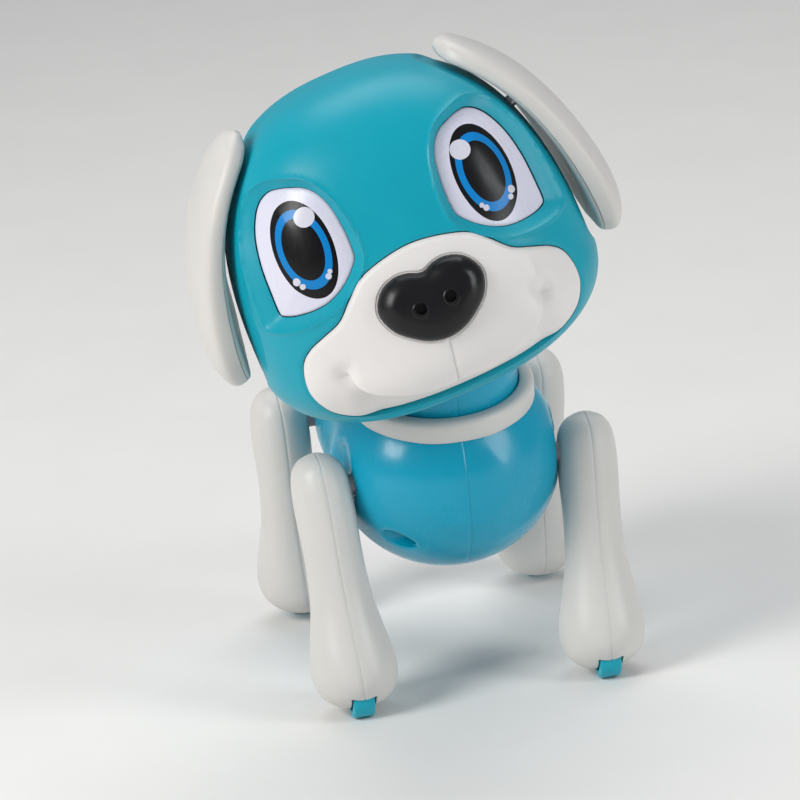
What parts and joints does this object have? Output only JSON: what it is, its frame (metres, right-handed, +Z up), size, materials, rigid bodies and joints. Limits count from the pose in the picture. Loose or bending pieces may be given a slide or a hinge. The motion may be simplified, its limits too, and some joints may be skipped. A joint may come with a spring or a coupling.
{
  "type": "robot dog toy",
  "caption": "Walking robot puppy toy with a large turning and tilting head, swinging legs on foot wheels, flap ears and a battery door.",
  "frame": {"origin": "on the ground, at the middle of the bounding box's base", "axes": "+Z up, the puppy faces -Y, its own left side is +X"},
  "size_m": [0.1292, 0.1708, 0.2033],
  "materials": {
    "body_shell_left": "moulded, glossy",
    "body_shell_right": "moulded, glossy",
    "battery_door": "moulded, glossy",
    "battery_door_screw": "plated",
    "battery_cell_1": "wrapped can",
    "battery_cell_2": "wrapped can",
    "battery_cell_3": "wrapped can",
    "battery_contact_front": "plated",
    "battery_contact_rear": "plated",
    "chest_screw": "plated",
    "collar": "moulded, satin",
    "main_board": "glass fibre board",
    "motor": "plated",
    "speaker": "paper cone in a frame",
    "tail": "moulded, satin",
    "neck_yoke": "moulded, matt",
    "tilt_pin": "plated",
    "head_face_shell": "moulded, glossy",
    "head_back_shell": "moulded, glossy",
    "muzzle": "moulded, satin",
    "nose": "moulded, satin",
    "eye_panel_left": "clear lacquered",
    "eye_panel_right": "clear lacquered",
    "head_chassis": "moulded, matt",
    "head_screw": "plated",
    "eye_led_board_left": "glass fibre board",
    "eye_led_board_right": "glass fibre board",
    "nose_sensor_board": "glass fibre board",
    "ear_left": "moulded, satin",
    "ear_axle_left": "plated",
    "ear_right": "moulded, satin",
    "ear_axle_right": "plated",
    "crank_gear_shaft": "moulded acetal",
    "crank_left": "moulded, matt",
    "crank_right": "moulded, matt",
    "motor_pinion": "moulded acetal",
    "drive_bar_left": "moulded acetal",
    "drive_bar_right": "moulded acetal",
    "leg_inner_front_left": "moulded, satin",
    "leg_outer_front_left": "moulded, satin",
    "hip_lever_front_left": "moulded, matt",
    "wheel_axle_front_left": "plated",
    "foot_wheel_front_left": "moulded, glossy",
    "leg_inner_front_right": "moulded, satin",
    "leg_outer_front_right": "moulded, satin",
    "hip_lever_front_right": "moulded, matt",
    "wheel_axle_front_right": "plated",
    "foot_wheel_front_right": "moulded, glossy",
    "leg_inner_back_left": "moulded, satin",
    "leg_outer_back_left": "moulded, satin",
    "hip_lever_back_left": "moulded, matt",
    "wheel_axle_back_left": "plated",
    "foot_wheel_back_left": "moulded, glossy",
    "leg_inner_back_right": "moulded, satin",
    "leg_outer_back_right": "moulded, satin",
    "hip_lever_back_right": "moulded, matt",
    "wheel_axle_back_right": "plated",
    "foot_wheel_back_right": "moulded, glossy",
    "power_switch": "moulded, satin"
  },
  "bodies": {
    "body": {"body_shell_left": "body_shell_left", "body_shell_right": "body_shell_right", "battery_door": "battery_door", "battery_door_screw": "battery_door_screw", "battery_cell_1": "battery_cell_1", "battery_cell_2": "battery_cell_2", "battery_cell_3": "battery_cell_3", "battery_contact_front": "battery_contact_front", "battery_contact_rear": "battery_contact_rear", "chest_screw": "chest_screw", "collar": "collar", "main_board": "main_board", "motor": "motor", "speaker": "speaker", "tail": "tail"},
    "neck": {"neck_yoke": "neck_yoke", "tilt_pin": "tilt_pin"},
    "head": {"head_face_shell": "head_face_shell", "head_back_shell": "head_back_shell", "muzzle": "muzzle", "nose": "nose", "eye_panel_left": "eye_panel_left", "eye_panel_right": "eye_panel_right", "head_chassis": "head_chassis", "head_screw": "head_screw", "eye_led_board_left": "eye_led_board_left", "eye_led_board_right": "eye_led_board_right", "nose_sensor_board": "nose_sensor_board"},
    "left_ear": {"ear_left": "ear_left", "ear_axle_left": "ear_axle_left"},
    "right_ear": {"ear_right": "ear_right", "ear_axle_right": "ear_axle_right"},
    "crank": {"crank_gear_shaft": "crank_gear_shaft", "crank_left": "crank_left", "crank_right": "crank_right"},
    "pinion": {"motor_pinion": "motor_pinion"},
    "left_bar": {"drive_bar_left": "drive_bar_left"},
    "right_bar": {"drive_bar_right": "drive_bar_right"},
    "front_left_leg": {"leg_inner_front_left": "leg_inner_front_left", "leg_outer_front_left": "leg_outer_front_left", "hip_lever_front_left": "hip_lever_front_left", "wheel_axle_front_left": "wheel_axle_front_left"},
    "front_left_wheel": {"foot_wheel_front_left": "foot_wheel_front_left"},
    "front_right_leg": {"leg_inner_front_right": "leg_inner_front_right", "leg_outer_front_right": "leg_outer_front_right", "hip_lever_front_right": "hip_lever_front_right", "wheel_axle_front_right": "wheel_axle_front_right"},
    "front_right_wheel": {"foot_wheel_front_right": "foot_wheel_front_right"},
    "back_left_leg": {"leg_inner_back_left": "leg_inner_back_left", "leg_outer_back_left": "leg_outer_back_left", "hip_lever_back_left": "hip_lever_back_left", "wheel_axle_back_left": "wheel_axle_back_left"},
    "back_left_wheel": {"foot_wheel_back_left": "foot_wheel_back_left"},
    "back_right_leg": {"leg_inner_back_right": "leg_inner_back_right", "leg_outer_back_right": "leg_outer_back_right", "hip_lever_back_right": "hip_lever_back_right", "wheel_axle_back_right": "wheel_axle_back_right"},
    "back_right_wheel": {"foot_wheel_back_right": "foot_wheel_back_right"},
    "switch": {"power_switch": "power_switch"}
  },
  "joints": [
    {"name": "neck_turn", "type": "hinge", "parent": "body", "child": "neck", "pos_m": [0.0095, -0.01313, 0.10707], "axis": [0, -0.2079, 0.9781], "range_deg": [-28, 32]},
    {"name": "head_tilt", "type": "hinge", "parent": "neck", "child": "head", "pos_m": [0.0095, -0.01313, 0.10707], "axis": [0.0341, 0.9994, -0.0001], "range_deg": [-1.5, 34.5]},
    {"name": "left_ear_swing", "type": "hinge", "parent": "head", "child": "left_ear", "pos_m": [0.03691, -0.0275, 0.18219], "axis": [0.7866, -0.0268, 0.6168], "range_deg": [-15, 15]},
    {"name": "right_ear_swing", "type": "hinge", "parent": "head", "child": "right_ear", "pos_m": [-0.05451, -0.02438, 0.15581], "axis": [-0.9941, 0.034, 0.1031], "range_deg": [-6, 24]},
    {"name": "crank_spin", "type": "hinge", "parent": "body", "child": "crank", "pos_m": [0.0095, 0.01943, 0.07602], "axis": [1, 0, 0], "continuous": true},
    {"name": "pinion_spin", "type": "hinge", "parent": "body", "child": "pinion", "pos_m": [0.0095, 0.03368, 0.07602], "axis": [1, 0, 0], "continuous": true},
    {"name": "front_left_leg_swing", "type": "hinge", "parent": "body", "child": "front_left_leg", "pos_m": [0.0503, -0.01637, 0.06802], "axis": [1, 0, 0], "range_deg": [-12, 12]},
    {"name": "front_right_leg_swing", "type": "hinge", "parent": "body", "child": "front_right_leg", "pos_m": [-0.0313, -0.01637, 0.06802], "axis": [1, 0, 0], "range_deg": [-12, 12]},
    {"name": "back_left_leg_swing", "type": "hinge", "parent": "body", "child": "back_left_leg", "pos_m": [0.0503, 0.05523, 0.06802], "axis": [1, 0, 0], "range_deg": [-12, 12]},
    {"name": "back_right_leg_swing", "type": "hinge", "parent": "body", "child": "back_right_leg", "pos_m": [-0.0313, 0.05523, 0.06802], "axis": [1, 0, 0], "range_deg": [-12, 12]},
    {"name": "left_bar_slide", "type": "slide", "parent": "body", "child": "left_bar", "axis": [0, 1, 0], "range_m": [-0.0017, 0.0017]},
    {"name": "right_bar_slide", "type": "slide", "parent": "body", "child": "right_bar", "axis": [0, 1, 0], "range_m": [-0.0017, 0.0017]},
    {"name": "front_left_wheel_spin", "type": "hinge", "parent": "front_left_leg", "child": "front_left_wheel", "pos_m": [0.04748, -0.03151, 0.007], "axis": [1, 0, 0], "continuous": true},
    {"name": "front_right_wheel_spin", "type": "hinge", "parent": "front_right_leg", "child": "front_right_wheel", "pos_m": [-0.02847, -0.03151, 0.007], "axis": [1, 0, 0], "continuous": true},
    {"name": "back_left_wheel_spin", "type": "hinge", "parent": "back_left_leg", "child": "back_left_wheel", "pos_m": [0.04748, 0.07037, 0.007], "axis": [1, 0, 0], "continuous": true},
    {"name": "back_right_wheel_spin", "type": "hinge", "parent": "back_right_leg", "child": "back_right_wheel", "pos_m": [-0.02847, 0.07037, 0.007], "axis": [1, 0, 0], "continuous": true},
    {"name": "switch_slide", "type": "slide", "parent": "body", "child": "switch", "axis": [0, 1, 0], "range_m": [-0.0025, 0.0025]}
  ],
  "couplings": [
    {"joint": "pinion_spin", "follows": "crank_spin", "ratio": -4},
    {"joint": "back_left_leg_swing", "follows": "front_left_leg_swing", "ratio": 1},
    {"joint": "front_right_leg_swing", "follows": "front_left_leg_swing", "ratio": -1},
    {"joint": "back_right_leg_swing", "follows": "front_left_leg_swing", "ratio": -1},
    {"joint": "left_bar_slide", "follows": "front_left_leg_swing", "m_per_rad": -0.008},
    {"joint": "right_bar_slide", "follows": "front_left_leg_swing", "m_per_rad": 0.008}
  ]
}
